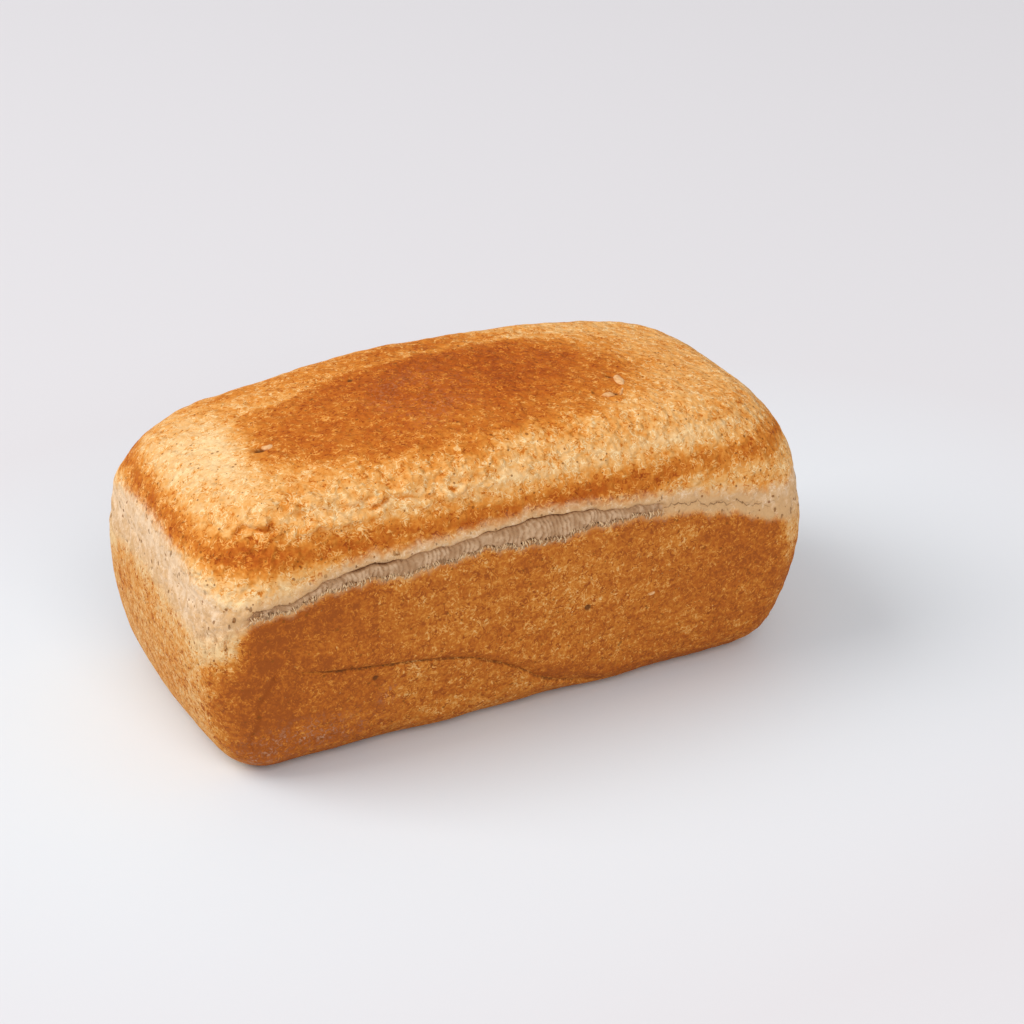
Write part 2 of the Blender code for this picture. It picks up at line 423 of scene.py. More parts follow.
def end_part(x, y):
    """1 over the loaf's ends and 0 along its sides, changing round the corners."""
    around = (np.abs(x) - HALF_LENGTH) - (np.abs(y) - HALF_WIDTH)
    return smooth_step(around, -0.7 * CORNER_AT_RIM, 0.7 * CORNER_AT_RIM)


def tear_shape(x, y):
    """Height of the tear's lower and upper edge on the wall."""
    to_back = smooth_step(y, -0.030, 0.030)
    on_end = end_part(x, y)
    edges = []
    for side_line, end_line, wander in ((TEAR_LOW, END_LOW, 0.00045), (TEAR_HIGH, END_HIGH, 0.00030)):
        on_side = smooth_line(x, side_line) * (1.0 - to_back) + smooth_line(-x, side_line) * to_back
        along = np.where(y > 0.0, -x, x)
        ragged = wander * (np.sin(310.0 * along + 1.0) + np.sin(743.0 * along + 2.0))
        end = smooth_line(np.abs(y), end_line)
        edges.append((on_side + ragged) * (1.0 - on_end) + end * on_end)
    return edges


def opening(x, y):
    """1 where the crumb lies open in the tear and 0 where the band is whole."""
    along = np.where(y > 0.0, -x, x)
    on_side = smooth_step(np.abs(y), HALF_WIDTH - 0.010, HALF_WIDTH - 0.004)
    opened = smooth_step(along, TEAR_LEFT_END, TEAR_LEFT_END + 0.016)
    return on_side * opened * (1.0 - smooth_step(along, TEAR_RIGHT_END - 0.016, TEAR_RIGHT_END))


def edges_of(faces):
    return list({edge for face in faces for edge in face.edges})


def on_outer_box(block_points):
    """The block's points spread over the loaf's outer box, with rows gathered at the tear."""
    share = block_points[:, 2] * 0.5 + 0.5
    outer = block_points * (LENGTH / 2.0, WIDTH / 2.0, 1.0)
    low_edge, high_edge = tear_shape(np.clip(outer[:, 0], -HALF_LENGTH, HALF_LENGTH), outer[:, 1])
    top_of_tear = WALL_ROWS + TEAR_ROWS
    below = share / WALL_ROWS * low_edge
    between = low_edge + (share - WALL_ROWS) / TEAR_ROWS * (high_edge - low_edge)
    above = high_edge + (share - top_of_tear) / (1.0 - top_of_tear) * (HEIGHT - high_edge)
    outer[:, 2] = np.where(share < WALL_ROWS, below, np.where(share < top_of_tear, between, above))
    return outer


def gridded_cube(cells):
    """A cube from -1 to 1 with its faces cut into this many cells along X, Y and Z."""
    block = bmesh.new()
    bmesh.ops.create_cube(block, size=2.0)
    for axis, count in enumerate(cells):
        along = [edge for edge in block.edges
                 if abs(edge.verts[0].co[axis] - edge.verts[1].co[axis]) > 1e-6]
        if count > 1:
            bmesh.ops.subdivide_edges(block, edges=along, cuts=count - 1, use_grid_fill=True)
    return block


def cut_finer(block, wanted, cuts):
    """Cut the faces again whose middle lies where wanted says, from its place on the plain loaf."""
    block.faces.ensure_lookup_table()
    centres = np.array([face.calc_center_median() for face in block.faces])
    places = on_crust(*rays_to(on_outer_box(centres)))
    chosen = [block.faces[place] for place in np.flatnonzero(wanted(places))]
    bmesh.ops.subdivide_edges(block, edges=edges_of(chosen), cuts=cuts, use_grid_fill=True)


def corner_angle(outward):
    """How far a wall is turned from the long side, 0 degrees, toward the end, 90 degrees."""
    return np.degrees(np.arctan2(np.abs(outward[:, 0]), np.abs(outward[:, 1])))


def corner_part(outward):
    """1 round the upright corners and 0 on the flat of the walls."""
    return 1.0 - smooth_step(np.abs(corner_angle(outward) - 52.0), 8.0, 34.0)


def off_oval(x, y, middle_x, middle_y, half_x, half_y):
    """0 at an oval's middle and 1 on its rim."""
    return np.hypot((x - middle_x) / half_x, (y - middle_y) / half_y)


def crack_line(x, y):
    """Height of the thin crack that carries on past the tear's right end."""
    low_edge, high_edge = tear_shape(x, y)
    wander = 0.0004 * (np.sin(690.0 * x) + np.sin(1130.0 * x + 2.0) + np.sin(2310.0 * x + 4.0))
    return low_edge * 0.40 + high_edge * 0.60 + wander


def crack_part(x, y):
    """1 where the band past the tear's right end only cracked."""
    along = np.where(y > 0.0, -x, x)
    begun = smooth_step(along, TEAR_RIGHT_END - 0.010, TEAR_RIGHT_END)
    return begun * (1.0 - smooth_step(along, 0.088, 0.104))


def is_wrinkled(places):
    x, _, z = places.T
    over = z - smooth_line(x, WRINKLE)
    return (front_part(places, 0.022) > 0.1) & (np.abs(over + 0.001) < 0.006) & (x < 0.0)


def is_creased(places):
    x, _, z = places.T
    over = z - smooth_line(x, FOLD)
    return (front_part(places) > 0.1) & (np.abs(over - 0.001) < 0.0035) & (x > -0.098) & (x < 0.036)


def is_pitted(places):
    near = [np.linalg.norm(places - pit[:3], axis=1) < PIT_ZONE for pit in PITS]
    return np.any(near, axis=0)


def is_puckered(places):
    x, y, z = places.T
    turned = (np.abs(x + 0.108) < 0.012) & (y < -0.040)
    curled = (np.abs(x - smooth_line(z, CURL)) < 0.0025) & (y < -0.050)
    return (turned & (z > 0.044) & (z < 0.074)) | (curled & (z > 0.012) & (z < 0.045))


def grid_block():
    """The crust's cube: its base coarse, the rest twice as fine, and finer still at the creases."""
    block = gridded_cube(COARSE_CELLS)
    shown = [face for face in block.faces if face.calc_center_median().z > -0.9999]
    bmesh.ops.subdivide_edges(block, edges=edges_of(shown), cuts=1, use_grid_fill=True)
    cut_finer(block, is_wrinkled, 2)
    cut_finer(block, is_creased, 2)
    cut_finer(block, is_puckered, 1)
    cut_finer(block, is_pitted, 3)
    return block


def front_part(points, depth=0.018):
    """1 on the wall that faces the front, fading out over the corners and the shoulder."""
    return smooth_step(-points[:, 1], HALF_WIDTH - depth, HALF_WIDTH - depth * 0.45)


def fold_relief(points):
    """The folded dough: a soft ridge, its underside falling to a crease, and the sheet below it."""
    x, _, z = points.T
    here = front_part(points) * smooth_step(x, -0.098, -0.074) * (1.0 - smooth_step(x, 0.024, 0.036))
    crease = smooth_line(x, FOLD)
    over = z - crease
    band = np.maximum(smooth_line(x, RIDGE) - crease, 0.0025)
    up_band = np.clip(over / band, 0.0, 1.0)
    above = -CREASE_DEPTH + RIDGE_RISE * up_band * (2.0 - up_band)
    above = above * (1.0 - smooth_step(over - band, 0.0, 0.012))
    below = -CREASE_DEPTH + SHEET_RISE * smooth_step(-over, 0.0, 0.0008)
    below = below * (1.0 - smooth_step(-over, 0.002, 0.010))
    return here * np.where(over > 0.0, above, below)


def curl_line(points):
    """1 in the crease that curls down at the left end of the folded dough."""
    x, y, z = points.T
    here = smooth_step(-y, 0.046, 0.052)
    here *= smooth_step(z, 0.010, 0.018) * (1.0 - smooth_step(z, 0.043, 0.047))
    return here * hump(x - smooth_line(z, CURL) + 0.0008 * np.sin(420.0 * z), 0.0, 0.0011)


def wrinkle_relief(points):
    """Height of the row of lumps where the crown sank onto its shoulder, and a mask under its edge for
    painted shade.
    """
    x, y, z = points.T
    over = z - smooth_line(x, WRINKLE) + 0.0026 * rough(points, 0.0080, 8, 2)
    here = smooth_step(-y, 0.036, 0.046) * (1.0 - smooth_step(x, -0.040, 0.010))
    here *= smooth_step(x, -0.110, -0.094)
    lumps = np.clip(0.45 + 1.4 * rough(points, 0.0050, 6, 1, (1.3, 1.0, 1.0)), 0.0, 1.3)
    step = smooth_step(over, -0.0004, 0.0004) * (1.0 - smooth_step(over, 0.0005, 0.0065))
    second = smooth_step(over, -0.0044, -0.0036) * (1.0 - smooth_step(over, -0.0032, -0.0003))
    height = here * (WRINKLE_STEP * step + SECOND_STEP * second) * lumps
    return height, here * lumps * hump(over, -0.0006, 0.0009)


def off_pit(points, outward, pit):
    """Distance from the line along which a pit is sunk."""
    away = points - pit
    sunk = (away * outward).sum(axis=1)
    beside = np.linalg.norm(away - sunk[:, None] * outward, axis=1)
    return np.where(np.abs(sunk) < PIT_ZONE, beside, PIT_ZONE)


def crust_relief(points, outward):
    """How far the crust stands proud of, or lies back from, the plain loaf."""
    x, y, z = points.T
    low_edge, high_edge = tear_shape(x, y)
    opened = opening(x, y)
    on_crown = smooth_step(z, high_edge, high_edge + 0.006)
    on_tin = 1.0 - smooth_step(z, low_edge - 0.004, low_edge)
    on_band = 1.0 - np.maximum(on_crown, on_tin)
    waves = LONG_WAVE * np.sin(31.0 * x + 1.3) * np.sin(47.0 * y + 0.4)
    waves += SHORT_WAVE * np.sin(83.0 * x - 52.0 * z + 2.1)
    relief = waves * smooth_step(z, 0.004, 0.030)
    bubbly = rough(points, 0.0050, 2, 3)
    relief += on_crown * (CROWN_SWELL * rough(points, 0.015, 1, 3) + CROWN_BUBBLES * bubbly)
    relief += on_tin * (TIN_SWELL * rough(points, 0.020, 3, 3) + TIN_BUBBLES * bubbly)
    relief += on_band * (BAND_LUMPS * rough(points, 0.0055, 5, 4, (0.7, 0.7, 1.1)) - BAND_SET_BACK)
    # The corners puckered into upright folds under the spilled crown
    puckered = corner_part(outward) * hump(z, low_edge - 0.004, 0.014) * smooth_step(-x, 0.0, 0.030)
    relief -= PUCKER_DEPTH * puckered * hump(np.abs(np.sin(560.0 * (x - y) + 0.8 * bubbly)), 0.0, 0.55)
    relief += wrinkle_relief(points)[0]
    # The open tear, with the crown's lip standing over it
    inside = smooth_step(z, low_edge, low_edge + EDGE_STEP)
    inside *= 1.0 - smooth_step(z, high_edge - EDGE_STEP, high_edge)
    relief -= CHANNEL_DEPTH * opened * inside
    relief += LIP_PROUD * opened * hump(z, high_edge + 0.0014, 0.0030)
    # Past the tear's right end the band only cracked
    relief -= CRACK_DEPTH * crack_part(x, y) * hump(z, crack_line(x, y), 0.0011)
    relief += fold_relief(points) - CURL_DEPTH * curl_line(points)
    # Faint slanting ripples toward the right end, and dents along the edge the loaf stands on
    rippled = front_part(points) * smooth_step(x, 0.035, 0.070) * on_tin
    relief += RIPPLE_HEIGHT * rippled * np.sin(900.0 * x + 700.0 * z + 2.0 * bubbly)
    dents = np.sin(95.0 * x + 0.7) + 0.7 * np.sin(178.0 * x + 40.0 * y)
    low = smooth_step(z, 0.0003, 0.003) * (1.0 - smooth_step(z, 0.006, 0.016))
    relief -= DENT_DEPTH * (1.0 + dents) * low
    for *pit, radius, depth in PITS:
        away = off_pit(points, outward, pit)
        relief -= depth * np.exp(-(np.maximum(away - 0.0003, 0.0) / radius) ** 2)
    return relief


def crown_browning(points, outward, warp, fine):
    """How dark the crown baked: a dark pool on top, paler on the shoulders, brown over the tear."""
    x, y, z = points.T
    wx = x + 0.006 * warp
    wy = y + 0.004 * fine
    pool = 1.0 - smooth_step(off_oval(wx, wy, *DARK_POOL), 0.62, 1.06)
    heart = 1.0 - smooth_step(off_oval(wx, wy, *DARK_HEART), 0.35, 1.15)
    top = 0.345 + 0.32 * pool + 0.17 * heart
    stripe = hump(wy, 0.0290 - 2.0 * wx ** 2, 0.0040) * smooth_step(wx, -0.100, -0.070)
    stripe *= 1.0 - smooth_step(wx, 0.030, 0.060)
    behind = hump(wy, 0.039, 0.012) * (1.0 - smooth_step(wx, 0.0, 0.060)) * smooth_step(wx, -0.1, -0.08)
    pale_left = 1.0 - smooth_step(off_oval(wx, wy, *PALE_LEFT), 0.2, 1.25)
    top = top - 0.20 * stripe + 0.14 * behind - 0.24 * pale_left
    side = np.interp(z + 0.0012 * fine, SIDE_HEIGHTS, SIDE_BROWNING)
    to_corner = smooth_step(-wx, 0.080, 0.100) * smooth_step(-wy, 0.036, 0.050)
    side = side + 0.10 * to_corner * hump(z, 0.087, 0.010) - 0.08 * smooth_step(wx, 0.030, 0.080)
    side = side - 0.06 * end_part(x, y) * (1.0 - to_corner)
    side = side - 0.30 * (1.0 - smooth_step(z, 0.072, 0.086)) * smooth_step(-wx, 0.060, 0.095)
    wall = 1.0 - smooth_step(outward[:, 2], 0.50, 0.90)
    return top * (1.0 - wall) + side * wall


def tin_browning(points, outward):
    """How dark the pressed crust baked: tan, darker to both sides, with painted shade under the folded
    dough's ridge.
    """
    x, y, z = points.T
    drop = tear_shape(x, y)[0] - z
    front = front_part(points)
    round_corner = corner_angle(outward)
    left_end = smooth_step(round_corner, 25.0, 62.0) * smooth_step(-x, 0.0, 0.030)
    tin = 0.640 - 0.285 * left_end + 0.05 * hump(drop, 0.007, 0.009)
    tin -= 0.13 * left_end * hump(drop, 0.003, 0.015)
    to_left = 0.20 * smooth_step(-x, 0.040, 0.080) + 0.10 * smooth_step(-x, 0.080, 0.100)
    ripples = np.sin(800.0 * x + 620.0 * z + 3.0 * np.sin(170.0 * z + 60.0 * x))
    tin += front * smooth_step(x, 0.035, 0.090) * (0.10 + 0.035 * ripples)
    crease = smooth_line(x, FOLD)
    ridge = smooth_line(x, RIDGE)
    under_ridge_shade = smooth_step(z, crease, crease + 0.0005)
    under_ridge_shade *= 1.0 - smooth_step(z, ridge - 0.0008, ridge + 0.0012)
    under_ridge_shade *= front * smooth_step(x, -0.075, -0.040)
    # painted shade: the ridge's underside, which faces down to the crease, is coloured browner
    tin += 0.14 * under_ridge_shade
    # The corners stayed pale where the crown spilled over the rim
    at_right = np.where(x > 0.0, 1.0, 0.0)
    off_corner = np.abs(round_corner - 56.0 + 6.0 * at_right)
    pale_corner = 1.0 - smooth_step(off_corner, 12.0 + 4.0 * at_right, 34.0)
    pale_corner *= smooth_step(z + 0.008 * at_right, 0.041, 0.057)
    return tin - 0.42 * pale_corner + front * to_left * (1.0 - pale_corner)


def put_attribute(mesh, name, values):
    mesh.attributes.new(name, "FLOAT", "POINT").data.foreach_set("value", values)


def mesh_of(block, name):
    """The block as a mesh, and its points as rows of X, Y and Z."""
    mesh = bpy.data.meshes.new(name)
    block.to_mesh(mesh)
    block.free()
    places = np.empty(len(mesh.vertices) * 3)
    mesh.vertices.foreach_get("co", places)
    return mesh, places.reshape(-1, 3)


def lay_out_skin(mesh, block_points, outer):
    """Lay the block's six sides out flat in one square, the hidden base at half its size."""
    gap = 0.003
    square = LENGTH + WIDTH + 3.0 * gap
    column = LENGTH + 2.0 * gap
    rows = (gap, WIDTH + 2.0 * gap, WIDTH + HEIGHT + 3.0 * gap)
    # For each side, by axis and sign: the axes laid across and up, the corner, and the size
    layout = {
        (2, 1): (0, 1, gap, rows[0], LENGTH, WIDTH), (0, 1): (1, 2, column, rows[0], WIDTH, HEIGHT),
        (1, -1): (0, 2, gap, rows[1], LENGTH, HEIGHT), (0, -1): (1, 2, column, rows[1], WIDTH, HEIGHT),
        (1, 1): (0, 2, gap, rows[2], LENGTH, HEIGHT),
        (2, -1): (0, 1, column, rows[2], LENGTH / 2.0, WIDTH / 2.0)}
    share = block_points * 0.5 + 0.5
    share[:, 2] = outer[:, 2] / HEIGHT
    owners = np.empty(len(mesh.loops), int)
    mesh.loops.foreach_get("vertex_index", owners)
    starts = np.empty(len(mesh.polygons), int)
    mesh.polygons.foreach_get("loop_start", starts)
    loop_counts = np.diff(np.append(starts, len(owners)))
    middles = np.add.reduceat(block_points[owners], starts, axis=0)
    axes = np.abs(middles / loop_counts[:, None]).argmax(axis=1)
    signs = np.sign(middles[np.arange(len(axes)), axes]).astype(int)
    flat = np.empty((len(owners), 2))
    for (axis, sign), (across, up, left, bottom, wide, high) in layout.items():
        mine = np.repeat((axes == axis) & (signs == sign), loop_counts)
        flat[mine] = np.column_stack((left + share[owners[mine], across] * wide,
                                      bottom + share[owners[mine], up] * high)) / square
    mesh.uv_layers.new(name="OFBake").data.foreach_set("uv", flat.ravel())


def stand_up(mesh, points, name):
    """Put the points in the mesh, shade it smooth and hang it in the scene."""
    mesh.vertices.foreach_set("co", points.ravel())
    mesh.shade_smooth()
    mesh.update()
    piece = bpy.data.objects.new(name, mesh)
    bpy.context.scene.collection.objects.link(piece)
    return piece


def make_loaf():
    """The crust's mesh, its masks as attributes on the points."""
    mesh, block_points = mesh_of(grid_block(), "loaf_crust")
    outer = on_outer_box(block_points)
    lay_out_skin(mesh, block_points, outer)
    core, outward = rays_to(outer)
    plain = on_crust(core, outward)
    points = plain + outward * crust_relief(plain, outward)[:, None]
    points[:, 2] = np.where(plain[:, 2] < 1e-6, 0.0, np.maximum(points[:, 2], 0.0))
    x, y, z = plain.T
    low_edge, high_edge = tear_shape(x, y)
    warp = rough(plain, 0.030, 11, 3)
    fine = rough(plain, 0.010, 12, 3)
    uneven = 0.05 * warp + 0.05 * fine
    put_attribute(mesh, "crown_browning", crown_browning(plain, outward, warp, fine) + uneven)
    put_attribute(mesh, "tin_browning", tin_browning(plain, outward) + uneven)
    on_end = end_part(x, y)
    corner = corner_part(outward)
    put_attribute(mesh, "over_low_edge", (z - low_edge) * (1.0 - 0.35 * on_end - 0.35 * corner))
    put_attribute(mesh, "over_high_edge", (z - high_edge) * (1.0 - 0.2 * on_end))
    put_attribute(mesh, "over_crack", z - crack_line(x, y))
    put_attribute(mesh, "cracked", crack_part(x, y))
    put_attribute(mesh, "on_top", smooth_step(outward[:, 2], 0.80, 0.98))
    put_attribute(mesh, "rosy", 1.0 - smooth_step(off_oval(x, y, *ROSY_OVAL), 0.4, 1.1))
    # painted shade: the sunk pits are coloured dark inside
    pit_shades = [np.exp(-(off_pit(plain, outward, pit) / radius) ** 2)
               for *pit, radius, depth in PITS if depth > 0.0]
    put_attribute(mesh, "in_pit", np.max(pit_shades, axis=0))
    put_attribute(mesh, "on_end", on_end)
    # painted shade under the crown's wrinkles and in the crease that curls down at the fold's left end
    put_attribute(mesh, "under_wrinkle", wrinkle_relief(plain)[1] + curl_line(plain))
    put_attribute(mesh, "on_crown", smooth_step(z, high_edge, high_edge + 0.008))
    fold_here = front_part(plain) * smooth_step(x, -0.096, -0.078) * (1.0 - smooth_step(x, 0.016, 0.026))
    put_attribute(mesh, "fold_here", fold_here)
    put_attribute(mesh, "over_fold", z - smooth_line(x, FOLD) + 0.0003 * fine)
    flour = sum(strength * np.exp(-off_oval(x, z, *oval) ** 2) for *oval, strength in FLOUR)
    put_attribute(mesh, "floury", flour * front_part(plain))
    return stand_up(mesh, points, "loaf_crust")


# Colours of crust by how long it baked, from the palest to the darkest crown
CRUST_STOPS = (
    (0.00, (0.95, 0.68, 0.35)),
    (0.16, (0.86, 0.54, 0.245)),
    (0.34, (0.81, 0.41, 0.122)),
    (0.50, (0.71, 0.26, 0.041)),
    (0.64, (0.575, 0.174, 0.021)),
    (0.80, (0.475, 0.112, 0.012)),
    (1.00, (0.32, 0.062, 0.009)),
)
PRESSED_TINT = (0.36, 0.155, 0.035, 1.0)
CRUMB_PALE = (0.88, 0.65, 0.43, 1.0)
CRUMB_DEEP = (0.66, 0.40, 0.19, 1.0)
FLECK_COLOUR = (0.24, 0.075, 0.012, 1.0)
# painted shade inside the band's pores
PORE_SHADE_COLOUR = (0.27, 0.110, 0.030, 1.0)
ROSY_COLOUR = (0.72, 0.30, 0.13, 1.0)
# painted shade inside the crack past the tear's right end
PAINTED_CRACK_SHADE = (0.20, 0.095, 0.040, 1.0)
# painted shade inside the fold's crease and the sunk pits
PAINTED_CREASE_SHADE = (0.15, 0.054, 0.016, 1.0)
FLOUR_COLOUR = (0.86, 0.60, 0.40, 1.0)


def crust_finish():
    """Baked crust: mottled, with short curled fibres, brown flecks of bran and tiny bubbles; painted
    shade darkens its creases, crack, pits, pores and hollows.
    """
    board = Board("baked_crust")
    where = board.coordinates()
    patches = board.clouds(where, 0.011, 4.0, 0.4)
    lumps = board.clouds(where, 0.0040, 3.0, 0.6)
    grain = board.clouds(where, 0.0012, 2.0, 0.6)
    pale_lines = 1.0 - abs(board.clouds(where, 0.0023, 0.0, 1.4) - 0.5).ramp(0.012, 0.085)
    pale_fibres = pale_lines * board.clouds(where, 0.0031, 0.0).ramp(0.45, 0.57)
    dark_lines = 1.0 - abs(board.clouds(where, 0.0027, 0.0, 1.5) - 0.5).ramp(0.008, 0.060)
    dark_fibres = dark_lines * board.clouds(where, 0.0029, 0.0).ramp(0.46, 0.58)
    chance = board.clouds(where, 0.0024, 0.0)
    flecks = 1.0 - (board.cells(where, 0.0022) + chance * 0.9).ramp(0.42, 0.52)
    # Edges of the tear, frayed by the lumps and the grain
    fray = (lumps - 0.5) * 0.0040 + (grain - 0.5) * 0.0022
    tin_edge = (board.attribute("over_low_edge") + fray).ramp(-0.0030, 0.0010)
    crown_edge = (board.attribute("over_high_edge") + fray).ramp(0.0005, 0.0062)
    crumb = tin_edge * (1.0 - crown_edge)
    on_crown = board.attribute("on_crown")
    on_shoulder = on_crown * (1.0 - board.attribute("on_top") * 0.75)
    swell = board.clouds(where, 0.0034, 1.0)
    on_tin = 1.0 - on_crown
    mottle = (patches - 0.5) * 0.26 + (lumps - 0.5) * 0.32 + (grain - 0.5) * (on_tin * 0.34 + 0.34)
    mottle = mottle - pale_fibres * (0.27 - on_tin * 0.07) + dark_fibres * (on_tin * 0.15 + 0.27)
    # painted shade: the shoulder's bump hollows are coloured browner and its swells paler
    mottle = mottle - (swell - 0.5) * on_shoulder * 0.40
    streaks = board.clouds(board.coordinates((0.22, 0.6, 1.0)), 0.0060, 4.0, 0.5)
    mottle = mottle * (on_tin * 0.30 + 1.05) + (streaks - 0.5) * on_tin * 0.48
    baked = board.blend(tin_edge, board.attribute("tin_browning"), board.attribute("crown_browning"))
    # painted shade: browner under the wrinkles' step and in the curl's crease
    shade = baked + mottle + board.attribute("under_wrinkle") * 0.26 + 0.03
    colour = board.baked_colour(shade, CRUST_STOPS)
    colour = board.mix((1.0 - tin_edge) * 0.24, colour, PRESSED_TINT)
    rosy = board.attribute("rosy") * grain.ramp(0.48, 0.62) * patches.ramp(0.35, 0.60)
    colour = board.mix(rosy * 0.30, colour, ROSY_COLOUR)
    # painted shade in the sunk pits
    colour = board.mix(board.attribute("in_pit").ramp(0.15, 0.60) * 0.90, colour, PAINTED_CREASE_SHADE)
    soft = (lumps - 0.5) * 1.6 + (grain - 0.5) * 0.8 - pale_fibres * 0.3 + 0.42
    near_tin = 1.0 - board.attribute("over_low_edge").ramp(0.0, 0.0070)
    soft = soft + (1.0 - board.attribute("on_end")) * 0.40 + near_tin * 0.30
    colour = board.mix(crumb, colour, board.mix(soft.ramp(0.0, 1.0), CRUMB_PALE, CRUMB_DEEP))
    colour = board.mix(flecks * 0.75, colour, FLECK_COLOUR)
    # Oblong pores in the stretched crumb of the band, their hollows coloured dark as painted shade
    pore_places = board.coordinates((1.0, 1.0, 0.5))
    pores = 1.0 - (board.cells(pore_places, 0.0022) + chance * 0.85).ramp(0.46, 0.56)
    pores = pores * crumb
    colour = board.mix(pores * 0.75, colour, PORE_SHADE_COLOUR)
    # painted shade inside the thin crack past the tear's right end
    crack = 1.0 - abs(board.attribute("over_crack") + (grain - 0.5) * 0.0008).ramp(0.00004, 0.00034)
    crack = crack * board.attribute("cracked") * lumps.ramp(0.36, 0.54)
    colour = board.mix(crack * 0.8, colour, PAINTED_CRACK_SHADE)
    # The crease of the folded dough, with painted shade inside it, and flour from the bench
    over_fold = board.attribute("over_fold") + (lumps - 0.5) * 0.0012
    crease = (1.0 - abs(over_fold).ramp(0.00010, 0.00055)) * board.attribute("fold_here")
    colour = board.mix(crease * (0.25 + grain.ramp(0.36, 0.60) * 0.55), colour, PAINTED_CREASE_SHADE)
    flour = (board.attribute("floury") * grain.ramp(0.45, 0.68) * lumps.ramp(0.38, 0.62)) * 0.45
    colour = board.mix(flour, colour, FLOUR_COLOUR)
    # Heights in millimetres
    height = swell * (1.2 + on_shoulder * 1.5) + lumps * 0.40 + grain * 0.24
    height = height + crumb * lumps * 0.5 + pale_fibres * 0.014 - dark_fibres * 0.018
    height = height - pores * 0.30
    board.bump(height, 0.001)
    return board.finish(colour, 0.80 - lumps * 0.14, 0.05)


loaf_crust = make_loaf()
loaf_crust.data.materials.append(crust_finish())
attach(loaf_crust, "root")
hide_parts("loaf")


# ---------------------------------------------------------------------------------------
# The torn crumb: where the crown pulled away from the pressed crust the soft crumb was
# drawn out into upright folds, greyish beige and never browned.  One strip on each side.
# ---------------------------------------------------------------------------------------
STRIP_CELLS = (620, 1, 40)
STRIP_OVERLAP = 1.45         # how far the strip runs under the crusts, in half heights
STRIP_SPARE = 0.002          # how far it runs past each end of the tear
STRIP_DEPTH = 0.0004         # how far its middle lies behind the plain wall
STRIP_TUCK = 0.0026          # how far its edges are tucked in under the crusts
STRIP_BACK = 0.0046          # where its hidden back lies
FOLD_SPACING = 0.0019
FOLD_HEIGHT = 0.0011
THREAD_SHARE = 0.31          # spacing of the fine threads, in folds
THREAD_HEIGHT = 0.00010
CRUMB_ROUGH = 0.00042
TORN_LUMPS = 0.0012          # lumps at the ragged left end
BULGE = 0.0005


def strip_relief(along, t, points):
    """The torn crumb's folds: upright, bowed like a bracket, with finer threads between them."""
    bend = 0.0009 * t ** 2 + 0.0008 * rough(points, 0.0036, 21, 3)
    drift = 0.0022 * rough(points * (1.0, 1.0, 0.35), 0.012, 22, 2)
    fold = np.abs(np.sin(np.pi * (along + bend + drift) / FOLD_SPACING))
    thread = np.abs(np.sin(np.pi * (along + 1.4 * bend - drift) / (FOLD_SPACING * THREAD_SHARE)))
    strength = 0.55 + 0.45 * rough(points, 0.0070, 23, 2)
    relief = FOLD_HEIGHT * strength * (fold ** 0.6 - 0.6) + THREAD_HEIGHT * (thread - 0.5)
    relief += CRUMB_ROUGH * rough(points, 0.0022, 24, 4)
    torn_to_lumps = 1.0 - smooth_step(along, -0.098, -0.084)
    relief += TORN_LUMPS * torn_to_lumps * rough(points, 0.0032, 26, 3)
    return relief + BULGE * (1.0 - t ** 2)


def wall_rays(x, side, z):
    """Rays that meet the wall of one side, -1 for front and 1 for back, at these places."""
    return rays_to(np.column_stack((x, np.full(len(x), side * WIDTH / 2.0), z)))


def edges_on_wall(x, side):
    """Height of the tear's edges where rays from these places meet the wall."""
    plain = on_crust(*wall_rays(x, side, np.full(len(x), RIM_HEIGHT)))
    return tear_shape(plain[:, 0], plain[:, 1])


def make_torn_crumb(name, side):
    """A strip of torn crumb that lies in the open tear of one side, -1 for front and 1 for back."""
    mesh, block_points = mesh_of(gridded_cube(STRIP_CELLS), name)
    share, layer, t = block_points.T
    t = t * STRIP_OVERLAP
    along = TEAR_LEFT_END - STRIP_SPARE
    along = along + (share * 0.5 + 0.5) * (TEAR_RIGHT_END - TEAR_LEFT_END + 2.0 * STRIP_SPARE)
    low_edge, high_edge = edges_on_wall(along * -side, side)
    middle = (low_edge + high_edge) / 2.0
    core, outward = wall_rays(along * -side, side, middle + t * (high_edge - low_edge) / 2.0)
    plain = on_crust(core, outward)
    x, wall, _ = plain.T
    tucked = STRIP_TUCK * smooth_step(np.abs(t), 0.90, 1.35)
    proud = strip_relief(along, np.clip(t, -1.0, 1.0), plain) - STRIP_DEPTH - tucked
    ragged = smooth_step(rough(plain, 0.0060, 25, 2), -0.2, 0.4)
    # Deeper gaps under the crown's lip on the left, and behind the fibres of the lower edge
    proud -= (0.0005 + 0.0012 * ragged) * hump(t, 0.95, 0.40) * hump(along, -0.064, 0.045)
    proud -= (0.0004 + 0.0016 * hump(along, -0.004, 0.020)) * ragged * hump(t, -0.92, 0.34)
    # fold_depth carries the folds' relief to the finish, which paints shade in their hollows and gaps and
    # a highlight on their crests
    put_attribute(mesh, "fold_depth", proud + STRIP_DEPTH)
    proud -= np.maximum(STRIP_TUCK * (1.0 - opening(x, wall)) - tucked, 0.0)
    points = plain + outward * np.where(layer > 0.0, -STRIP_BACK, proud)[:, None]
    return stand_up(mesh, points, name)


CRUMB_COLOUR = (0.44, 0.250, 0.125, 1.0)
# a painted highlight for the raised folds, and painted shade for their hollows
CRUMB_CREST_HIGHLIGHT = (0.68, 0.46, 0.28, 1.0)
PAINTED_CRUMB_HOLLOW_SHADE = (0.17, 0.065, 0.020, 1.0)


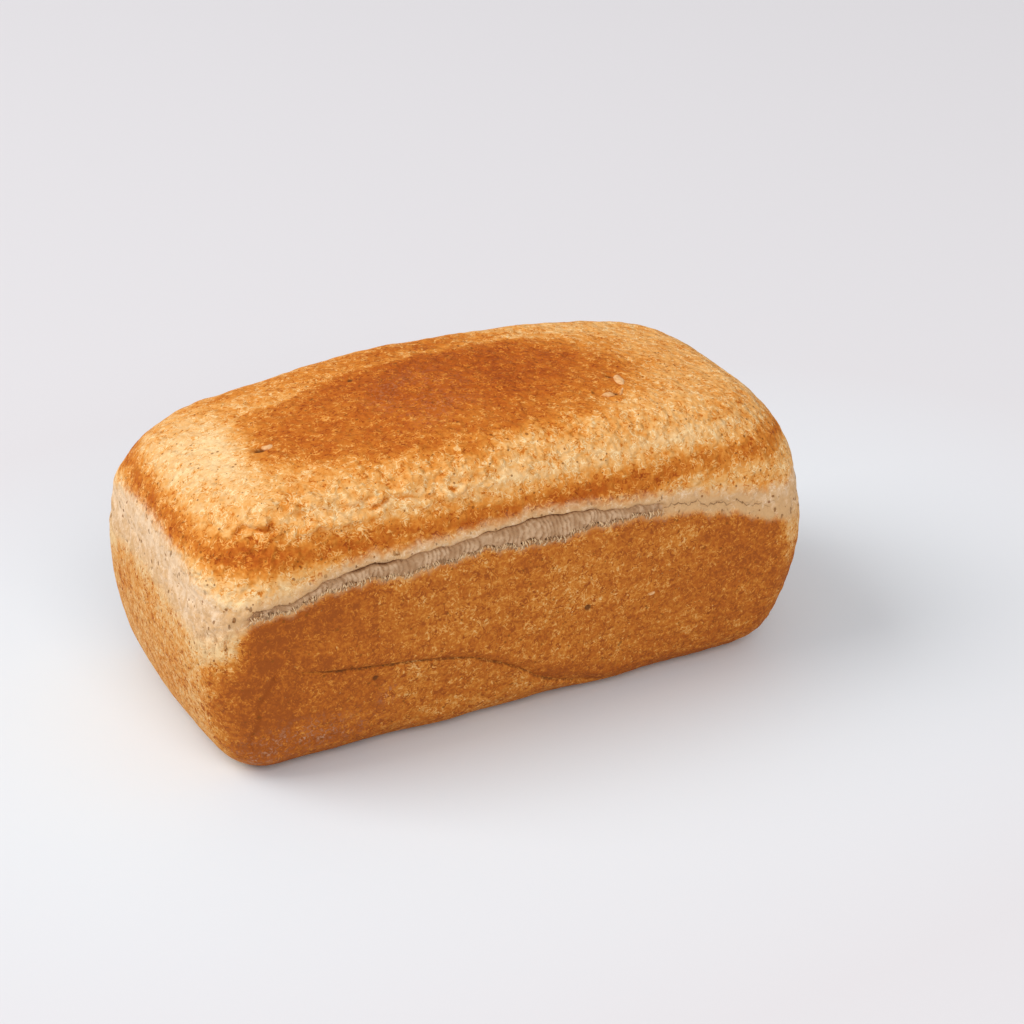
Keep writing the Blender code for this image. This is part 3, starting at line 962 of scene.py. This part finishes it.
def crumb_finish():
    """Torn crumb: matt and greyish beige, with painted shade in the hollows between its folds and a
    painted highlight on raised folds.
    """
    board = Board("torn_crumb")
    where = board.coordinates()
    grain = board.clouds(where, 0.0009, 3.0, 0.5)
    patches = board.clouds(where, 0.0070, 3.0)
    rise = board.attribute("fold_depth") + (grain - 0.5) * 0.0005
    # painted shade: the folds' hollows and the gaps at the strip's edges are coloured dark
    colour = board.mix(rise.ramp(-0.0010, 0.0002), PAINTED_CRUMB_HOLLOW_SHADE, CRUMB_COLOUR)
    # painted highlight: the raised folds are coloured paler, in patches
    light = rise.ramp(0.0001, 0.0008) * patches.ramp(0.35, 0.62)
    colour = board.mix(light * 0.85, colour, CRUMB_CREST_HIGHLIGHT)
    board.bump(grain, 0.0004)
    return board.finish(colour, 0.82 - grain * 0.1, 0.12)


crumb_look = crumb_finish()
for strip_name, strip_side in (("torn_crumb_front", -1), ("torn_crumb_back", 1)):
    torn_crumb = make_torn_crumb(strip_name, strip_side)
    torn_crumb.data.materials.append(crumb_look)
    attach(torn_crumb, "root")


# ---------------------------------------------------------------------------------------
# Torn fibres: threads of crumb that still hold to the pressed crust, and hook over the lower
# edge of the tear.  Short bent strands stand along the edge, each turned and sized by chance.
# ---------------------------------------------------------------------------------------
FIBRE_SPACING = 0.00042
FIBRE_LENGTH = 0.0031
FIBRE_THICKNESS = 0.00019
FIBRE_SHARE = 0.72           # how many of the roots bear a fibre
FIBRE_WANDER = 0.0006
ROOT_SINK = 0.2              # how much of the crust's relief the roots follow
# A fibre's bend, in its own lengths: across, up and outward
FIBRE_START, FIBRE_MIDDLE, FIBRE_END = (0.0, 0.55, -0.16), (0.05, 0.10, 0.34), (-0.10, -0.45, -0.02)
FIBRE_LEAN = (-0.15, -0.35, -0.60), (0.25, 0.35, 0.60)
FIBRE_SCALE = (0.6, 0.30, 0.5), (1.5, 1.15, 1.1)
FIBRE_COLOUR = (0.82, 0.58, 0.33, 1.0)


class Tree:
    """A Geometry Nodes tree with named inputs, whose nodes are added one by one."""

    def __init__(self, name, sizes):
        self.group = bpy.data.node_groups.new(name, "GeometryNodeTree")
        face = self.group.interface
        face.new_socket("Geometry", in_out="INPUT", socket_type="NodeSocketGeometry")
        face.new_socket("Geometry", in_out="OUTPUT", socket_type="NodeSocketGeometry")
        self.sockets = {}
        for label, (kind, value) in sizes.items():
            socket = face.new_socket(label, in_out="INPUT", socket_type=kind)
            self.sockets[label] = (socket.identifier, value)
        self.start = self.group.nodes.new("NodeGroupInput")

    def given(self, label):
        return self.start.outputs[label]

    def add(self, kind, settings, inputs, output=0):
        """Add a node, set it up, fill or link its sockets, and return one of its outputs."""
        node = self.group.nodes.new(kind)
        for name, value in settings.items():
            setattr(node, name, value)
        for place, value in inputs.items():
            if isinstance(value, bpy.types.NodeSocket):
                self.group.links.new(value, node.inputs[place])
            else:
                node.inputs[place].default_value = value
        return node.outputs[output]

    def chance(self, kind, low, high, seed):
        """A random value for each point: a number, or a vector of three."""
        places = (0, 1, 0) if kind == "FLOAT_VECTOR" else (2, 3, 1)
        return self.add("FunctionNodeRandomValue", {"data_type": kind}, {
            places[0]: low, places[1]: high, "Seed": seed}, places[2])

    def scatter_mesh(self, points, shape, name):
        """Run the tree on these points, realized, as one plain mesh object of that name."""
        end = self.group.nodes.new("NodeGroupOutput")
        real = self.add("GeometryNodeRealizeInstances", {}, {"Geometry": shape})
        dressed = self.add("GeometryNodeSetMaterial", {}, {
            "Geometry": real, "Material": self.given("Material")})
        self.group.links.new(dressed, end.inputs[0])
        carrier = bpy.data.objects.new(name + "_carrier", points)
        bpy.context.scene.collection.objects.link(carrier)
        scatter = carrier.modifiers.new("scatter", "NODES")
        scatter.node_group = self.group
        for identifier, value in self.sockets.values():
            scatter[identifier] = value
        evaluated = carrier.evaluated_get(bpy.context.evaluated_depsgraph_get())
        mesh = bpy.data.meshes.new_from_object(evaluated)
        bpy.data.objects.remove(carrier)
        piece = bpy.data.objects.new(name, mesh)
        bpy.context.scene.collection.objects.link(piece)
        return piece


def fibre_roots():
    """Points along the tear's lower edges, front and back, each with its outward direction."""
    half = int((TEAR_RIGHT_END - TEAR_LEFT_END - 0.010) / FIBRE_SPACING)
    along = TEAR_LEFT_END + 0.004 + FIBRE_SPACING * np.arange(half)
    rays = []
    for side in (-1, 1):
        x = along * -side
        drift = np.array([noise.noise(Vector((place * 700.0, side * 9.0, 3.0))) for place in x])
        rays.append(wall_rays(x, side, edges_on_wall(x, side)[0] + FIBRE_WANDER * drift))
    core, outward = (np.concatenate(part) for part in zip(*rays))
    plain = on_crust(core, outward)
    places = plain + outward * crust_relief(plain, outward)[:, None] * ROOT_SINK
    roots = bpy.data.meshes.new("fibre_roots")
    roots.from_pydata(places.tolist(), [], [])
    roots.attributes.new("outward", "FLOAT_VECTOR", "POINT").data.foreach_set("vector", outward.ravel())
    return roots


def grow_fibres(material):
    """Strands over the lower edge: a bent thread on every root that chance picks."""
    tree = Tree("torn_fibres", {
        "Length": ("NodeSocketFloat", FIBRE_LENGTH), "Thickness": ("NodeSocketFloat", FIBRE_THICKNESS),
        "Share": ("NodeSocketFloat", FIBRE_SHARE), "Seed": ("NodeSocketInt", 4),
        "Material": ("NodeSocketMaterial", material)})
    bend = tree.add("GeometryNodeCurveQuadraticBezier", {}, {
        "Resolution": 5, "Start": FIBRE_START, "Middle": FIBRE_MIDDLE, "End": FIBRE_END})
    size = tree.add("GeometryNodeTransform", {}, {"Geometry": bend, "Scale": (FIBRE_LENGTH,) * 3})
    ring = tree.add("GeometryNodeCurvePrimitiveCircle", {}, {
        "Resolution": 4, "Radius": tree.given("Thickness")}, "Curve")
    thread = tree.add("GeometryNodeCurveToMesh", {}, {
        "Curve": size, "Profile Curve": ring, "Fill Caps": True})
    seed = tree.given("Seed")
    kept = tree.add("FunctionNodeRandomValue", {"data_type": "BOOLEAN"}, {
        "Probability": tree.given("Share"), "Seed": seed}, 3)
    facing = tree.add("GeometryNodeInputNamedAttribute", {"data_type": "FLOAT_VECTOR"}, {
        "Name": "outward"}, 0)
    stood = tree.add("FunctionNodeAlignRotationToVector", {"axis": "Z"}, {"Vector": facing})
    upright = tree.add("FunctionNodeAlignRotationToVector", {"axis": "Y", "pivot_axis": "Z"}, {
        "Rotation": stood, "Vector": (0.0, 0.0, 1.0)})
    turned = tree.add("FunctionNodeRotateRotation", {"rotation_space": "LOCAL"}, {
        "Rotation": upright, "Rotate By": tree.chance("FLOAT_VECTOR", *FIBRE_LEAN, 5)})
    threads = tree.add("GeometryNodeInstanceOnPoints", {}, {
        "Points": tree.given("Geometry"), "Selection": kept, "Instance": thread,
        "Rotation": turned, "Scale": tree.chance("FLOAT_VECTOR", *FIBRE_SCALE, 6)})
    return tree.scatter_mesh(fibre_roots(), threads, "torn_fibres")


def plain_finish(name, colour, other, size):
    """A matt food finish that wanders between two colours."""
    board = Board(name)
    mottle = board.clouds(board.coordinates(), size, 2.0)
    return board.finish(board.mix(mottle.ramp(0.38, 0.62), colour, other), 0.85 - mottle * 0.2, 0.12)


torn_fibres = grow_fibres(plain_finish("torn_fibre", FIBRE_COLOUR, CRUMB_COLOUR, 0.0016))
torn_fibres.data.shade_smooth()
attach(torn_fibres, "root")


# ---------------------------------------------------------------------------------------
# Bran: flat brown flakes of husk baked into the whole crust but its base, by chance.
# ---------------------------------------------------------------------------------------
BRAN_PER_AREA = 7500.0
BRAN_SIZE = 0.00030
BRAN_LOWEST_LEAN = -0.6      # the base, whose normal points further down, bears none
BRAN_LEAN = (-0.2, -0.2, 0.0), (0.2, 0.2, 6.28)
BRAN_SCALE = (0.5, 0.35, 0.22), (1.5, 0.9, 0.40)
BRAN_COLOUR = (0.27, 0.095, 0.022, 1.0)
BRAN_PALE = (0.50, 0.240, 0.075, 1.0)


def scatter_bran(material):
    """Flakes on the crust, lying in its surface, turned and sized by chance."""
    tree = Tree("bran_flakes", {
        "Per Area": ("NodeSocketFloat", BRAN_PER_AREA), "Size": ("NodeSocketFloat", BRAN_SIZE),
        "Seed": ("NodeSocketInt", 11), "Material": ("NodeSocketMaterial", material)})
    spread = tree.group.nodes.new("GeometryNodeDistributePointsOnFaces")
    tree.group.links.new(tree.given("Geometry"), spread.inputs["Mesh"])
    tree.group.links.new(tree.given("Per Area"), spread.inputs["Density"])
    tree.group.links.new(tree.given("Seed"), spread.inputs["Seed"])
    facing = tree.add("GeometryNodeInputNormal", {}, {})
    lean = tree.add("ShaderNodeSeparateXYZ", {}, {"Vector": facing}, "Z")
    shown = tree.add("FunctionNodeCompare", {"data_type": "FLOAT", "operation": "GREATER_THAN"}, {
        0: lean, 1: BRAN_LOWEST_LEAN})
    tree.group.links.new(shown, spread.inputs["Selection"])
    flake = tree.add("GeometryNodeMeshIcoSphere", {}, {
        "Radius": tree.given("Size"), "Subdivisions": 1}, "Mesh")
    turned = tree.add("FunctionNodeRotateRotation", {"rotation_space": "LOCAL"}, {
        "Rotation": spread.outputs["Rotation"],
        "Rotate By": tree.chance("FLOAT_VECTOR", *BRAN_LEAN, 12)})
    flakes = tree.add("GeometryNodeInstanceOnPoints", {}, {
        "Points": spread.outputs["Points"], "Instance": flake, "Rotation": turned,
        "Scale": tree.chance("FLOAT_VECTOR", *BRAN_SCALE, 13)})
    return tree.scatter_mesh(loaf_crust.data.copy(), flakes, "bran_flakes")


bran_flakes = scatter_bran(plain_finish("bran", BRAN_COLOUR, BRAN_PALE, 0.0030))
bran_flakes.data.shade_smooth()
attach(bran_flakes, "root")


# ---------------------------------------------------------------------------------------
# Blister skins: the pale flaps that burst bubbles left on top, each beside its pit, and one
# whole blister on the front.
# ---------------------------------------------------------------------------------------
# X, Y, Z, half length, half width and height of each, and its turn in degrees
BLISTERS = ((0.0558, -0.0205, 0.1063, 0.0044, 0.0018, 0.0009, 78.0),
            (0.0462, -0.0302, 0.1067, 0.0024, 0.0014, 0.0007, -27.0),
            (0.0522, -0.0290, 0.1062, 0.0032, 0.0005, 0.0005, 55.0),
            (-0.0763, -0.0108, 0.1040, 0.0021, 0.0014, 0.0009, -15.0),
            (0.0480, -0.0630, 0.0410, 0.0014, 0.0006, 0.0004, 5.0))
BLISTER_COLOUR = (0.80, 0.48, 0.23, 1.0)
BLISTER_TAN = (0.66, 0.32, 0.11, 1.0)
BLISTER_ROUGH, BLISTER_ROUGH_SIZE = 0.00035, 0.0017


def raise_blisters():
    """Low domes that stand on the crust, each turned about the way out of it."""
    block = bmesh.new()
    for *place, long, wide, tall, turn in BLISTERS:
        place = np.array([place])
        core, outward = rays_to(place)
        away = np.linalg.norm(place - core)
        core = core - outward * max(away - CORE_INSET, 0.0)
        foot = on_crust(core, outward)
        foot = foot + outward * crust_relief(foot, outward)[:, None]
        stand = Vector(outward[0]).to_track_quat("Z", "Y").to_matrix().to_4x4()
        spin = Matrix.Rotation(math.radians(turn), 4, "Z")
        size = Matrix.Diagonal((long, wide, tall, 1.0))
        bmesh.ops.create_uvsphere(block, u_segments=24, v_segments=12, radius=1.0,
                                  matrix=Matrix.Translation(foot[0]) @ stand @ spin @ size)
    mesh, points = mesh_of(block, "blister_skins")
    moved = [rough(points, BLISTER_ROUGH_SIZE, seed, 1) for seed in (31, 32, 33)]
    points += BLISTER_ROUGH * np.column_stack(moved)
    return stand_up(mesh, points, "blister_skins")


blister_skins = raise_blisters()
blister_skins.data.materials.append(plain_finish("blister_skin", BLISTER_COLOUR, BLISTER_TAN, 0.0020))
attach(blister_skins, "root")
